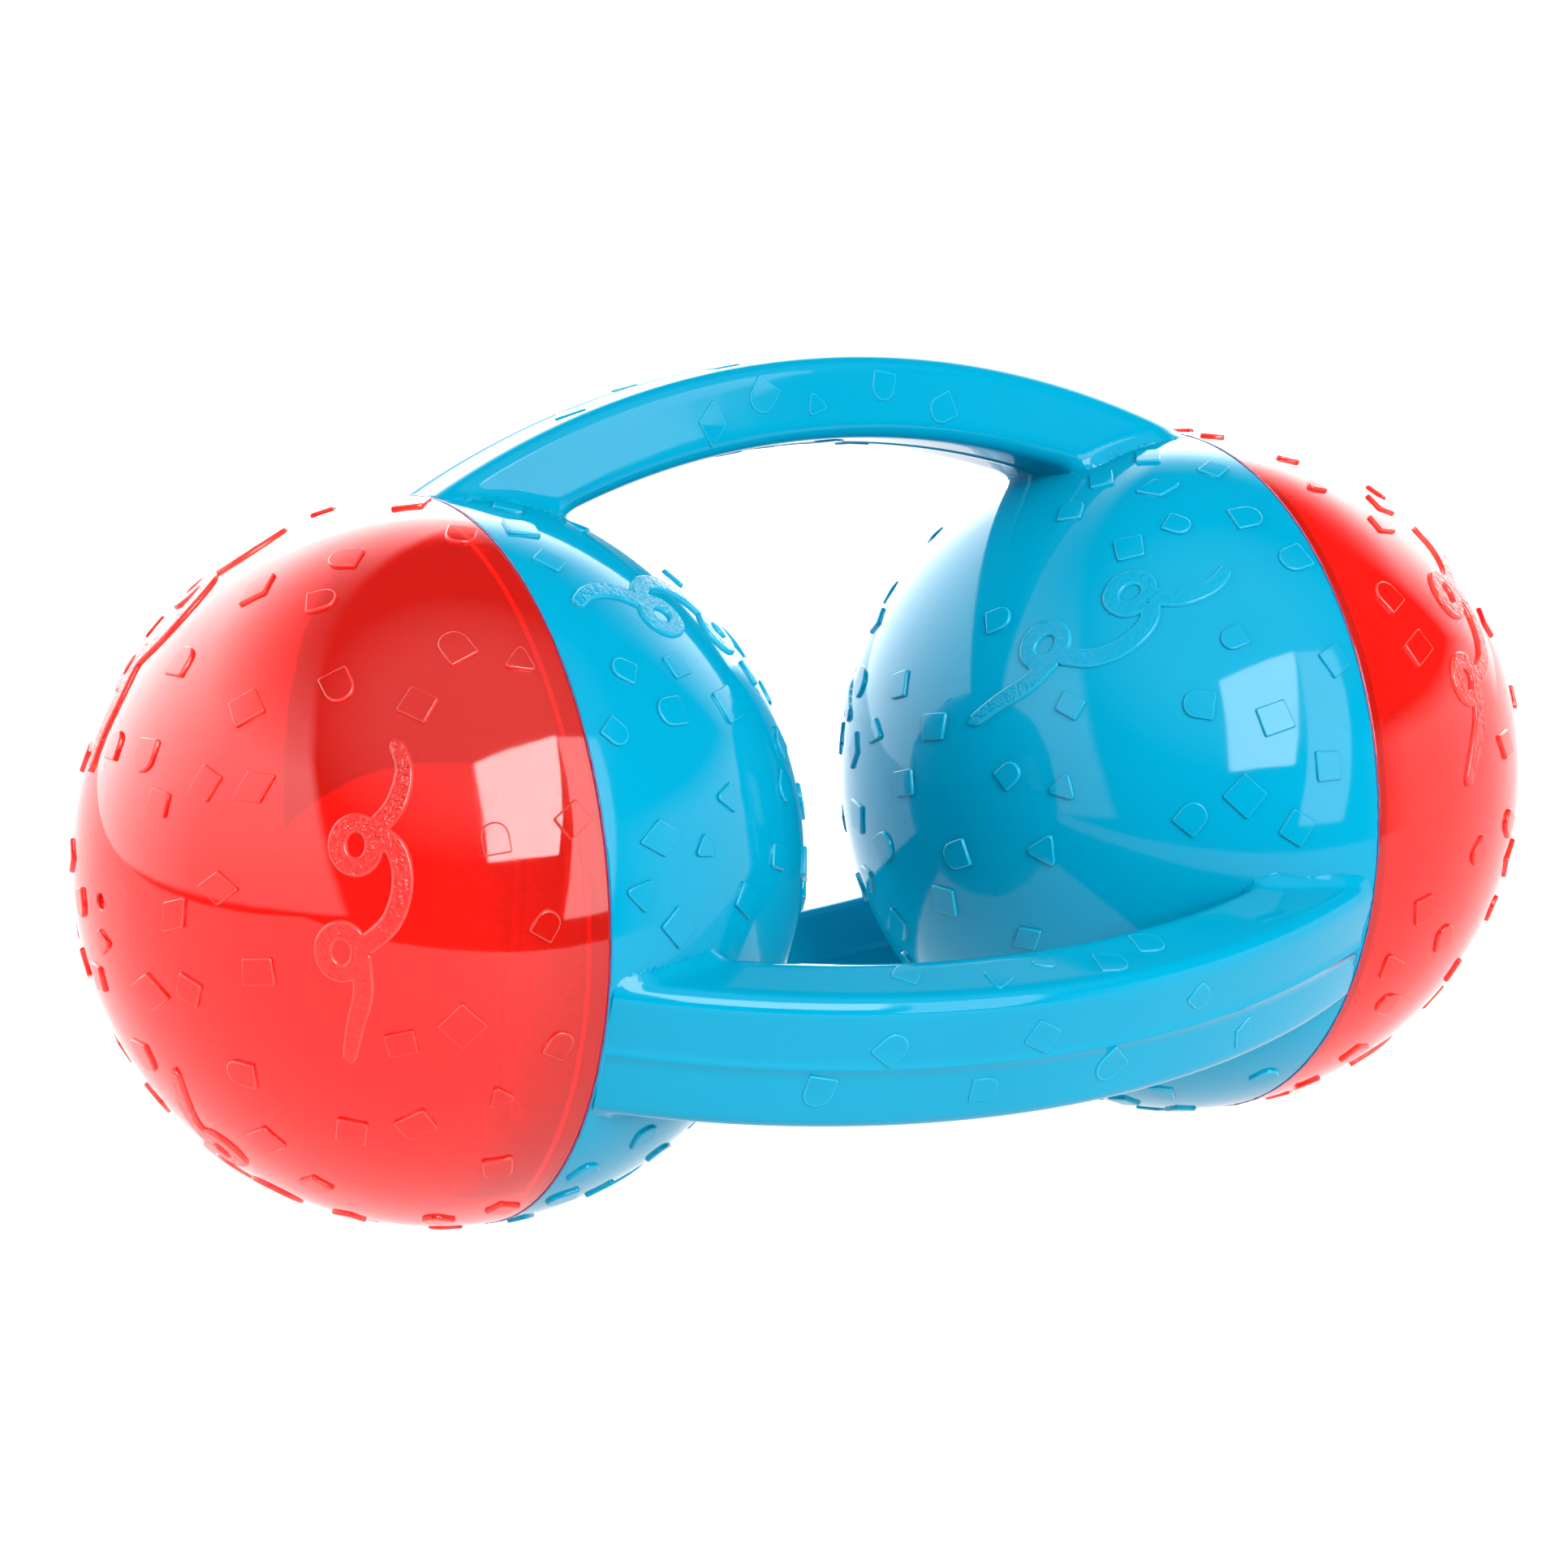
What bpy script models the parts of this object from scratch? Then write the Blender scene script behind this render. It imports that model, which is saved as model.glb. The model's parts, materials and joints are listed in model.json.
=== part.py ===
"""Dumbbell toss rattle: two hollow balls joined by three bowed handles, with a loose ball inside each.

+X runs from the left ball to the right ball, +Z is up, and the origin is under the middle of the object.
Each hollow ball is a clear cap, on the outside, closed onto an opaque cup, on the inside. The two cups and
the three handles are one soft moulding, kept here as five solids that meet at a fine gap.
"""
import math

import bmesh
import bpy
from mathutils import Matrix, Vector

# Hollow balls
BALL_RADIUS = 0.055
BALL_SPACING = 0.1339
WALL = 0.003
SEGMENTS = 40
QUARTER_STEPS = 7
GAP = 0.0003

# Lap joint where a cap closes onto its cup
LAP_LENGTH = 0.0024
LAP_WALL = (WALL - GAP) / 2

# Handles: a circular arc in side view, a flat band with rounded edges in section
HANDLE_REACH = 0.0712
HANDLE_SEAM_REACH = 0.0535
HANDLE_THICKNESS = 0.0132
HANDLE_WIDTH = 0.0224
HANDLE_ROUNDING = 0.003
HANDLE_STEPS = 17
HANDLE_END_ANGLE = math.radians(31)
FIRST_HANDLE_ROLL = math.radians(-10.4)

# Loose balls: a rubber core in two bonded halves, under two felt panels
LOOSE_RADIUS = 0.033
LOOSE_CLEARANCE = 0.0005
FELT_THICKNESS = 0.0026
FELT_GAP = 0.0018
CORE_CLEARANCE = 0.0011
CORE_WALL = 0.0034
CORE_SEGMENTS = 20
CORE_QUARTER_STEPS = 5
SEAM_WAIST = 0.25
PANEL_ROWS = 24
PANEL_COLUMNS = 6

# Squeakers: a barrel in a collar behind each cap's vent, with a reed held by a plug
SMALL_SEGMENTS = 20
VENT_RADIUS = 0.0012
SEAT_DEPTH = 0.001
COLLAR_HEIGHT = 0.0045
COLLAR_WALL = 0.0013
BARREL_RADIUS = 0.0054
BARREL_LENGTH = 0.0067
BARREL_FLANGE = 0.001
PORT_RADIUS = 0.0014
CHAMBER_RADIUS = 0.004
CHAMBER_DEPTH = 0.0024
FRONT_WALL = 0.002
PLUG_SEAT_RADIUS = 0.0046
PLUG_PORT_RADIUS = 0.001
REED_LENGTH = 0.0083
REED_WIDTH = 0.0024
REED_THICKNESS = 0.0003

HALF_TURN = math.pi
FACET_PHASE = math.pi / SEGMENTS
SIDES = {"left": -1, "right": 1}
HANDLE_NAMES = ("top_handle", "front_handle", "back_handle")


def clear_scene():
    for obj in list(bpy.data.objects):
        bpy.data.objects.remove(obj, do_unlink=True)


def new_collection(name):
    collection = bpy.data.collections.new(name)
    bpy.context.scene.collection.children.link(collection)
    return collection


def material(name, colour, roughness, transmission=0.0):
    made = bpy.data.materials.new(name)
    made.use_nodes = True
    shader = made.node_tree.nodes["Principled BSDF"]
    shader.inputs["Base Color"].default_value = (*colour, 1.0)
    shader.inputs["Roughness"].default_value = roughness
    shader.inputs["Metallic"].default_value = 0.0
    shader.inputs["Transmission Weight"].default_value = transmission
    made.diffuse_color = (*colour, 1.0)
    return made


def new_object(name, mesh, collection, made_of=None):
    obj = bpy.data.objects.new(name, mesh)
    collection.objects.link(obj)
    if made_of:
        mesh.materials.append(made_of)
    return obj


def quarter_arc(radius, from_angle, to_angle, steps):
    """Points (r, z) of an arc, with angles measured from the pole on +Z."""
    angles = [from_angle + (to_angle - from_angle) * i / steps for i in range(steps + 1)]
    return [(radius * math.sin(a), radius * math.cos(a)) for a in angles]


def turned(name, profile, closed, segments, collection, made_of):
    """A profile of (r, z) points turned about Z. It runs down its outer side."""
    mesh = bpy.data.meshes.new(name)
    count = len(profile)
    edges = [(i, i + 1) for i in range(count - 1)]
    if closed:
        edges.append((count - 1, 0))
    mesh.from_pydata([(r, 0.0, z) for r, z in profile], edges, [])
    obj = new_object(name, mesh, collection, made_of)
    screw = obj.modifiers.new("turn", "SCREW")
    screw.steps = segments
    screw.render_steps = segments
    screw.use_merge_vertices = True
    screw.merge_threshold = 0.00001
    screw.use_smooth_shade = True
    return obj


def facing(side):
    """Turns a part modelled with its pole on +Z so that the pole points away from the middle."""
    return Matrix.Rotation(side * HALF_TURN / 2, 4, "Y") @ Matrix.Rotation(FACET_PHASE, 4, "Z")


def ball_centre(side):
    return Matrix.Translation((side * BALL_SPACING / 2, 0.0, 0.0))


def cap_profile():
    inner = BALL_RADIUS - WALL
    seat = inner - SEAT_DEPTH
    collar_inner = BARREL_RADIUS + GAP
    collar_outer = collar_inner + COLLAR_WALL
    vent_angle = math.asin(VENT_RADIUS / BALL_RADIUS)
    outside = quarter_arc(BALL_RADIUS, vent_angle, math.pi / 2, QUARTER_STEPS)
    lip_inner = BALL_RADIUS - LAP_WALL
    lap_top = LAP_LENGTH + GAP
    lap = [(lip_inner, 0.0), (lip_inner, lap_top)]
    lap_angle = math.acos(lap_top / inner)
    collar_angle = math.asin(collar_outer / inner)
    inside = quarter_arc(inner, lap_angle, collar_angle, QUARTER_STEPS)
    collar = [
        (collar_outer, seat - COLLAR_HEIGHT + SEAT_DEPTH),
        (collar_inner, seat - COLLAR_HEIGHT + SEAT_DEPTH),
        (collar_inner, seat),
        (VENT_RADIUS, seat),
    ]
    return outside + lap + inside + collar


def cup_profile():
    """The cup's pole is on +Z too, so its tongue reaches below its seam plane."""
    inner = BALL_RADIUS - WALL
    outside = quarter_arc(BALL_RADIUS, 0.0, math.pi / 2, QUARTER_STEPS)
    outside[-1] = (BALL_RADIUS, GAP)
    tongue = [
        (inner + LAP_WALL, GAP),
        (inner + LAP_WALL, -LAP_LENGTH),
        (inner, -LAP_LENGTH),
    ]
    inside = quarter_arc(inner, math.pi / 2, 0.0, QUARTER_STEPS)
    return outside + tongue + inside


def build_shells(side_name, side, collection, made):
    cap = turned(f"{side_name}_cap", cap_profile(), True, SEGMENTS, collection, made["red"])
    cap.matrix_world = ball_centre(side) @ facing(side)
    cup = turned(f"{side_name}_cup", cup_profile(), False, SEGMENTS, collection, made["blue"])
    cup.matrix_world = ball_centre(side) @ facing(-side)
    return [cap, cup]


def build_ball_cutter(side, collection):
    """A solid ball, a gap larger than the hollow one, with the same facets."""
    bpy.ops.mesh.primitive_uv_sphere_add(
        segments=SEGMENTS, ring_count=2 * QUARTER_STEPS, radius=BALL_RADIUS + GAP)
    cutter = bpy.context.object
    cutter.name = "ball_cutter"
    for old in cutter.users_collection:
        old.objects.unlink(cutter)
    collection.objects.link(cutter)
    cutter.matrix_world = ball_centre(side) @ facing(side)
    cutter.hide_render = True
    cutter.display_type = "WIRE"
    return cutter


def handle_mesh(name):
    """A rounded rectangle spun about the arc's centre, along X, with its outside up."""
    drop = HANDLE_REACH - HANDLE_SEAM_REACH
    arc_radius = ((BALL_SPACING / 2) ** 2 + drop ** 2) / (2 * drop)
    centre = Vector((0.0, 0.0, HANDLE_REACH - arc_radius))
    half = HANDLE_WIDTH / 2
    bottom = HANDLE_REACH - HANDLE_THICKNESS
    bm = bmesh.new()
    corners = [(-half, bottom), (half, bottom), (half, HANDLE_REACH), (-half, HANDLE_REACH)]
    bm.faces.new([bm.verts.new((0.0, y, z)) for y, z in corners])
    bmesh.ops.bevel(bm, geom=bm.verts[:], offset=HANDLE_ROUNDING, segments=2,
                    profile=0.5, affect="VERTICES")
    to_start = Matrix.Rotation(-HANDLE_END_ANGLE, 3, "Y")
    bmesh.ops.rotate(bm, cent=centre, matrix=to_start, verts=bm.verts[:])
    bmesh.ops.spin(bm, geom=bm.verts[:] + bm.edges[:] + bm.faces[:], cent=centre,
                   axis=(0.0, 1.0, 0.0), angle=2 * HANDLE_END_ANGLE, steps=HANDLE_STEPS)
    bmesh.ops.recalc_face_normals(bm, faces=bm.faces[:])
    mesh = bpy.data.meshes.new(name)
    bm.to_mesh(mesh)
    bm.free()
    mesh.shade_smooth()
    mesh.set_sharp_from_angle(angle=math.radians(40))
    return mesh


def build_handles(collection, cutters, made):
    """Three handles, a third of a turn apart about the line through both balls."""
    handles = []
    third = 2 * math.pi / len(HANDLE_NAMES)
    for index, name in enumerate(HANDLE_NAMES):
        handle = new_object(name, handle_mesh(name), collection, made["blue"])
        handle.matrix_world = Matrix.Rotation(FIRST_HANDLE_ROLL + index * third, 4, "X")
        for cutter in cutters:
            cut = handle.modifiers.new("meet_ball", "BOOLEAN")
            cut.operation = "DIFFERENCE"
            cut.solver = "EXACT"
            cut.object = cutter
        handles.append(handle)
    return handles


def seam_point(angle):
    """The curve that parts the two felt panels, on a ball of radius 1."""
    wide = 1 - SEAM_WAIST
    return Vector((
        wide * math.cos(angle) + SEAM_WAIST * math.cos(3 * angle),
        wide * math.sin(angle) - SEAM_WAIST * math.sin(3 * angle),
        2 * math.sqrt(wide * SEAM_WAIST) * math.sin(2 * angle),
    ))


def felt_mesh(name):
    """One dog-bone panel: arcs across it, from the seam to its mirror point on the seam."""
    outer = LOOSE_RADIUS
    margin = FELT_GAP / 2 / outer
    first = -math.pi / 4 + 3 * margin
    last = 3 * math.pi / 4 - 3 * margin
    bm = bmesh.new()
    rows = []
    for row in range(PANEL_ROWS + 1):
        angle = first + (last - first) * row / PANEL_ROWS
        near = seam_point(angle).normalized()
        far = seam_point(-angle - math.pi / 2).normalized()
        inset = min(0.3, margin / near.angle(far))
        line = []
        for column in range(PANEL_COLUMNS + 1):
            share = inset + (1 - 2 * inset) * column / PANEL_COLUMNS
            line.append(bm.verts.new(near.slerp(far, share) * outer))
        rows.append(line)
    for low, high in zip(rows, rows[1:]):
        for left in range(PANEL_COLUMNS):
            bm.faces.new((low[left], high[left], high[left + 1], low[left + 1]))
    mesh = bpy.data.meshes.new(name)
    bm.to_mesh(mesh)
    bm.free()
    return mesh


def build_loose_ball(side_name, side, collection, made):
    """Its parts hang on an empty on the joint's axis, through the hollow ball's centre."""
    hinge = new_object(f"{side_name}_roll_axis", None, collection)
    hinge.matrix_world = ball_centre(side)
    orbit = BALL_RADIUS - WALL - LOOSE_CLEARANCE - LOOSE_RADIUS
    rest = Matrix.Translation((0.0, 0.0, -orbit))
    tilt = Matrix.Rotation(math.radians(35) * side, 4, "X") @ Matrix.Rotation(math.radians(20), 4, "Y")
    flips = {"a": Matrix.Identity(4), "b": Matrix.Rotation(HALF_TURN, 4, "X")}
    core_outer = LOOSE_RADIUS - FELT_THICKNESS - CORE_CLEARANCE
    core_inner = core_outer - CORE_WALL
    parts = []
    for letter, flip in flips.items():
        outside = quarter_arc(core_outer, 0.0, math.pi / 2, CORE_QUARTER_STEPS)
        inside = quarter_arc(core_inner, math.pi / 2, 0.0, CORE_QUARTER_STEPS)
        outside[-1] = (core_outer, GAP / 2)
        inside[0] = (core_inner, GAP / 2)
        core = turned(f"{side_name}_core_{letter}", outside + inside, False,
                      CORE_SEGMENTS, collection, made["rubber"])
        core.parent = hinge
        core.matrix_local = rest @ tilt @ flip
        name = f"{side_name}_felt_{letter}"
        felt = new_object(name, felt_mesh(name), collection, made["felt"])
        felt.parent = hinge
        swap = Matrix.Rotation(HALF_TURN, 4, "X") if letter == "b" else Matrix.Identity(4)
        felt.matrix_local = rest @ tilt @ swap
        thick = felt.modifiers.new("thick", "SOLIDIFY")
        thick.thickness = FELT_THICKNESS
        thick.offset = -1.0
        parts += [core, felt]
    return hinge, parts


def barrel_profile():
    """Z is measured from the barrel's front face, which is up."""
    flange_top = -(COLLAR_HEIGHT - SEAT_DEPTH)
    flange_radius = BARREL_RADIUS + GAP + COLLAR_WALL
    ledge = -(FRONT_WALL + CHAMBER_DEPTH)
    return [
        (PORT_RADIUS, 0.0),
        (BARREL_RADIUS, 0.0),
        (BARREL_RADIUS, flange_top),
        (flange_radius, flange_top),
        (flange_radius, flange_top - BARREL_FLANGE),
        (BARREL_RADIUS, flange_top - BARREL_FLANGE),
        (BARREL_RADIUS, -BARREL_LENGTH),
        (PLUG_SEAT_RADIUS, -BARREL_LENGTH),
        (PLUG_SEAT_RADIUS, ledge),
        (CHAMBER_RADIUS, ledge),
        (CHAMBER_RADIUS, -FRONT_WALL),
        (PORT_RADIUS, -FRONT_WALL),
    ]


def plug_profile(reed_back):
    radius = PLUG_SEAT_RADIUS - GAP
    return [
        (PLUG_PORT_RADIUS, reed_back),
        (radius, reed_back),
        (radius, -BARREL_LENGTH),
        (PLUG_PORT_RADIUS, -BARREL_LENGTH),
    ]


def build_squeaker(side_name, side, collection, made):
    front = BALL_RADIUS - WALL - SEAT_DEPTH - GAP
    place = ball_centre(side) @ facing(side) @ Matrix.Translation((0.0, 0.0, front))
    reed_front = -(FRONT_WALL + CHAMBER_DEPTH + GAP)
    reed_back = reed_front - REED_THICKNESS
    barrel = turned(f"{side_name}_squeaker_barrel", barrel_profile(), True,
                    SMALL_SEGMENTS, collection, made["clear"])
    plug = turned(f"{side_name}_squeaker_plug", plug_profile(reed_back - GAP), True,
                  SMALL_SEGMENTS, collection, made["clear"])
    barrel.matrix_world = place
    plug.matrix_world = place
    bpy.ops.mesh.primitive_cube_add(size=1.0)
    reed = bpy.context.object
    reed.name = f"{side_name}_squeaker_reed"
    reed.data.name = reed.name
    for old in reed.users_collection:
        old.objects.unlink(reed)
    collection.objects.link(reed)
    reed.data.transform(Matrix.Diagonal((REED_LENGTH, REED_WIDTH, REED_THICKNESS, 1.0)))
    reed.data.materials.append(made["reed"])
    reed.matrix_world = place @ Matrix.Translation((0.0, 0.0, (reed_front + reed_back) / 2))
    return [barrel, plug, reed]


def stand_on_floor(base, parts):
    """Moves everything so that the lowest point is at z = 0 and the box is centred on the origin."""
    bpy.context.view_layer.update()
    graph = bpy.context.evaluated_depsgraph_get()
    points = []
    for part in parts:
        solid = part.evaluated_get(graph)
        points += [solid.matrix_world @ vertex.co for vertex in solid.data.vertices]
    low = Vector([min(p[i] for p in points) for i in range(3)])
    high = Vector([max(p[i] for p in points) for i in range(3)])
    base.location = (-(low.x + high.x) / 2, -(low.y + high.y) / 2, -low.z)


def build():
    clear_scene()
    solids = new_collection("dumbbell_rattle")
    cutter_set = new_collection("cutters")
    made = {
        "red": material("clear_red", (0.90, 0.03, 0.02), 0.08, 0.8),
        "blue": material("soft_blue", (0.0, 0.43, 0.72), 0.12),
        "felt": material("yellow_felt", (0.62, 0.75, 0.05), 0.95),
        "rubber": material("grey_rubber", (0.18, 0.18, 0.17), 0.7),
        "clear": material("natural_plastic", (0.85, 0.85, 0.82), 0.3),
        "reed": material("reed_film", (0.9, 0.9, 0.88), 0.4),
    }
    cutters = [build_ball_cutter(side, cutter_set) for side in SIDES.values()]
    parts = []
    placed = list(cutters)
    for side_name, side in SIDES.items():
        shells = build_shells(side_name, side, solids, made)
        squeaker = build_squeaker(side_name, side, solids, made)
        hinge, loose = build_loose_ball(side_name, side, solids, made)
        placed += shells + squeaker + [hinge]
        parts += shells + squeaker + loose
    handles = build_handles(solids, cutters, made)
    parts += handles
    placed += handles
    base = new_object("base", None, solids)
    for obj in placed:
        obj.parent = base
    stand_on_floor(base, parts)


build()
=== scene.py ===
"""Looks of the dumbbell toss rattle.

Clear caps, soft blue moulding, raised confetti and ribbons, and felt loose balls inside.
"""
import json
import math
import random

import bpy
import numpy as np
from mathutils import Matrix, Vector
from mathutils.bvhtree import BVHTree


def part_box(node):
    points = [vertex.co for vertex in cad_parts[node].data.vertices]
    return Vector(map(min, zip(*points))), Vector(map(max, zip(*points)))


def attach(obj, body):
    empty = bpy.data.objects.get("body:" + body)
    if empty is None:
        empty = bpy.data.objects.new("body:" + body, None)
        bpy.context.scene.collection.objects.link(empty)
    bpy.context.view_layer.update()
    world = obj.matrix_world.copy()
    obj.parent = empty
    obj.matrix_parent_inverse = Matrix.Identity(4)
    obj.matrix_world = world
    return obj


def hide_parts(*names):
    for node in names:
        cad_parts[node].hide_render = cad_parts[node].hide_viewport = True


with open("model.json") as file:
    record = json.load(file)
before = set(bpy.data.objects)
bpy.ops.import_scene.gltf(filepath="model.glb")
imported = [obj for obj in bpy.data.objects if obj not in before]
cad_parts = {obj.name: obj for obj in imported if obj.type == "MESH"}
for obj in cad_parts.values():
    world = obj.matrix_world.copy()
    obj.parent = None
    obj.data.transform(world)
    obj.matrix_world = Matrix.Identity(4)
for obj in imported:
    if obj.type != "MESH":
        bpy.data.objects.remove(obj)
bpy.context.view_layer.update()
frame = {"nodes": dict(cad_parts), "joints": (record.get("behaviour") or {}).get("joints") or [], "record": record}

# ---------------------------------------------------------------- sizes, in metres
MM = 0.001
BALL_RADIUS = 55 * MM
WALL = 3 * MM
LAP_LENGTH = 2.4 * MM
LAP_GAP = 0.15 * MM
SEAM_GAP = 0.12 * MM
SEGMENTS = 144
QUARTER_STEPS = 36

RELIEF = 0.52 * MM

HANDLE_REACH = 71.2 * MM
HANDLE_SEAM_REACH = 54.6 * MM
HANDLE_THICKNESS = 13.2 * MM
HANDLE_WIDTH = 22.4 * MM
HANDLE_CORNER = 2.7 * MM
HANDLE_CROWN = 0.3 * MM
HANDLE_STEPS = 120
PARTING_WIDTH = 0.36 * MM
PARTING_HEIGHT = 0.17 * MM
ROOT_FILLET = 2.2 * MM
ROOT_FADE = 4.0 * MM

VENT_RADIUS = 1.2 * MM
COLLAR_INNER = 5.7 * MM
COLLAR_OUTER = 7.0 * MM
COLLAR_HEIGHT = 3.5 * MM
SEAT_DEPTH = 1.0 * MM

LOOSE_RADIUS = 33 * MM
FELT_THICKNESS = 2.6 * MM
FELT_GAP = 1.8 * MM
SEAM_WAIST = 0.25

SIDES = {"left": -1, "right": 1}
HANDLES = ("top", "front", "back")

CENTRES = {name: Vector(joint["pos_m"])
           for name in SIDES for joint in frame["joints"] if joint["child"].startswith(name)}
AXIS = (CENTRES["left"] + CENTRES["right"]) / 2
HALF_SPACING = (CENTRES["right"] - CENTRES["left"]).length / 2
HANDLE_OUT = {name: Vector(mount["axis"]).normalized()
              for name in HANDLES for mount in frame["record"]["mounts"]
              if mount["name"].startswith(name)}
ALONG = Vector((1.0, 0.0, 0.0))
HANDLE_DROP = HANDLE_REACH - HANDLE_SEAM_REACH
ARC_RADIUS = (HALF_SPACING ** 2 + HANDLE_DROP ** 2) / (2 * HANDLE_DROP)
ARC_DEPTH = ARC_RADIUS - HANDLE_REACH


# ---------------------------------------------------------------- materials
def principled(name, colour, roughness, **values):
    material = bpy.data.materials.new(name)
    material.use_nodes = True
    nodes, links = material.node_tree.nodes, material.node_tree.links
    shader = nodes["Principled BSDF"]
    shader.inputs["Base Color"].default_value = (*colour, 1.0)
    shader.inputs["Roughness"].default_value = roughness
    for label, value in values.items():
        shader.inputs[label.replace("_", " ")].default_value = value
    return material, nodes, links, shader


def noise(nodes, links, scale, detail=4.0, roughness=0.5):
    position = nodes.new("ShaderNodeTexCoord")
    texture = nodes.new("ShaderNodeTexNoise")
    texture.inputs["Scale"].default_value = scale
    texture.inputs["Detail"].default_value = detail
    texture.inputs["Roughness"].default_value = roughness
    links.new(position.outputs["Object"], texture.inputs["Vector"])
    return texture.outputs["Fac"]


def ramp(nodes, links, source, low, high, from_value, to_value):
    """Maps source from low..high to from_value..to_value. Colours and plain numbers both work."""
    if hasattr(from_value, "__len__"):
        made = nodes.new("ShaderNodeValToRGB")
        made.color_ramp.elements[0].position = low
        made.color_ramp.elements[0].color = (*from_value, 1.0)
        made.color_ramp.elements[1].position = high
        made.color_ramp.elements[1].color = (*to_value, 1.0)
        links.new(source, made.inputs["Fac"])
        return made.outputs["Color"]
    made = nodes.new("ShaderNodeMapRange")
    made.inputs["From Min"].default_value = low
    made.inputs["From Max"].default_value = high
    made.inputs["To Min"].default_value = from_value
    made.inputs["To Max"].default_value = to_value
    links.new(source, made.inputs["Value"])
    return made.outputs["Result"]


def bump(nodes, links, shader, source, strength, distance, under=None):
    made = nodes.new("ShaderNodeBump")
    made.inputs["Strength"].default_value = strength
    made.inputs["Distance"].default_value = distance
    links.new(source, made.inputs["Height"])
    if under:
        links.new(under, made.inputs["Normal"])
    links.new(made.outputs["Normal"], shader.inputs["Normal"])
    return made.outputs["Normal"]


def moulded_gloss(name, colour, darker, roughness, stipple=0.0, **values):
    """Glossy soft plastic: faint flow marks in the colour, a slight orange peel and uneven gloss."""
    material, nodes, links, shader = principled(name, colour, roughness, **values)
    flow = noise(nodes, links, 22.0, 3.0)
    links.new(ramp(nodes, links, flow, 0.3, 0.75, darker, colour), shader.inputs["Base Color"])
    smear = noise(nodes, links, 60.0, 5.0, 0.6)
    links.new(ramp(nodes, links, smear, 0.35, 0.75, roughness, roughness + 0.05),
              shader.inputs["Roughness"])
    peel = bump(nodes, links, shader, noise(nodes, links, 90.0, 2.0), 0.12, 0.25 * MM)
    if stipple:
        grain = noise(nodes, links, 1000.0, 2.0, 0.7)
        bump(nodes, links, shader, grain, stipple, 0.5 * MM, under=peel)
    return material


def felt_material():
    colour, shade = (0.80, 0.80, 0.07), (0.60, 0.64, 0.05)
    material, nodes, links, shader = principled(
        "yellow_felt", colour, 0.95, Sheen_Weight=0.5, Sheen_Roughness=0.4)
    tufts = noise(nodes, links, 700.0, 6.0, 0.7)
    links.new(ramp(nodes, links, tufts, 0.35, 0.65, shade, colour), shader.inputs["Base Color"])
    bump(nodes, links, shader, tufts, 0.9, 0.8 * MM)
    return material


def fine_grain(name, colour, darker, roughness, scale, depth, **values):
    material, nodes, links, shader = principled(name, colour, roughness, **values)
    grain = noise(nodes, links, scale, 4.0)
    links.new(ramp(nodes, links, grain, 0.35, 0.7, darker, colour), shader.inputs["Base Color"])
    bump(nodes, links, shader, grain, 0.3, depth)
    return material


RED = (0.97, 0.028, 0.018)
RED_DEEP = (0.93, 0.022, 0.014)
RED_FROSTED = (0.97, 0.10, 0.08)
# Painted highlight: a lighter red for the rims of the raised pads and ribbons.
PAINTED_RED_EDGE_HIGHLIGHT = (0.99, 0.24, 0.20)
BLUE = (0.0, 0.245, 0.395)
BLUE_DEEP = (0.0, 0.223, 0.365)
# Painted highlight: a lighter blue for the rims of the raised pads and ribbons.
PAINTED_BLUE_EDGE_HIGHLIGHT = (0.02, 0.33, 0.48)
# The red's faint red emission is a painted glow, standing in for light scattered through the backlit clear
# plastic.
RED_LOOK_WITH_PAINTED_GLOW = {"Transmission_Weight": 0.8, "IOR": 1.46, "Emission_Strength": 0.085,
            "Emission_Color": (1.0, 0.02, 0.01, 1.0)}
BLUE_LOOK = {"IOR": 1.5, "Specular_IOR_Level": 0.19}

MATERIALS = {
    "red": moulded_gloss("clear_red", RED, RED_DEEP, 0.03, **RED_LOOK_WITH_PAINTED_GLOW),
    "red_stipple": moulded_gloss("clear_red_stippled", RED_FROSTED, RED, 0.22, 1.0, **RED_LOOK_WITH_PAINTED_GLOW),
    # The lighter edge material below is a painted highlight on the pattern's rims.
    "red_painted_highlight": moulded_gloss("clear_red_painted_highlight", PAINTED_RED_EDGE_HIGHLIGHT, RED_FROSTED, 0.12, **RED_LOOK_WITH_PAINTED_GLOW),
    "blue": moulded_gloss("soft_blue", BLUE, BLUE_DEEP, 0.05, **BLUE_LOOK),
    "blue_stipple": moulded_gloss("soft_blue_stippled", BLUE, BLUE_DEEP, 0.16, 0.5, **BLUE_LOOK),
    # The lighter edge material below is a painted highlight on the pattern's rims.
    "blue_painted_highlight": moulded_gloss("soft_blue_painted_highlight", PAINTED_BLUE_EDGE_HIGHLIGHT, BLUE, 0.12, **BLUE_LOOK),
    "felt": felt_material(),
    "rubber": fine_grain("grey_rubber", (0.24, 0.24, 0.22), (0.17, 0.17, 0.16), 0.7, 260.0, 0.2 * MM),
    "seam_rubber": fine_grain("seam_rubber", (0.75, 0.75, 0.70), (0.62, 0.62, 0.58), 0.6, 300.0,
                              0.15 * MM),
    "bond": fine_grain("seam_bond", (0.10, 0.045, 0.16), (0.04, 0.06, 0.20), 0.3, 900.0, 0.1 * MM),
    "natural": fine_grain("natural_plastic", (0.80, 0.78, 0.74), (0.74, 0.72, 0.68), 0.35, 200.0,
                          0.05 * MM, Transmission_Weight=0.35),
    "film": fine_grain("reed_film", (0.86, 0.86, 0.83), (0.80, 0.80, 0.77), 0.3, 300.0, 0.03 * MM),
}


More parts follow.
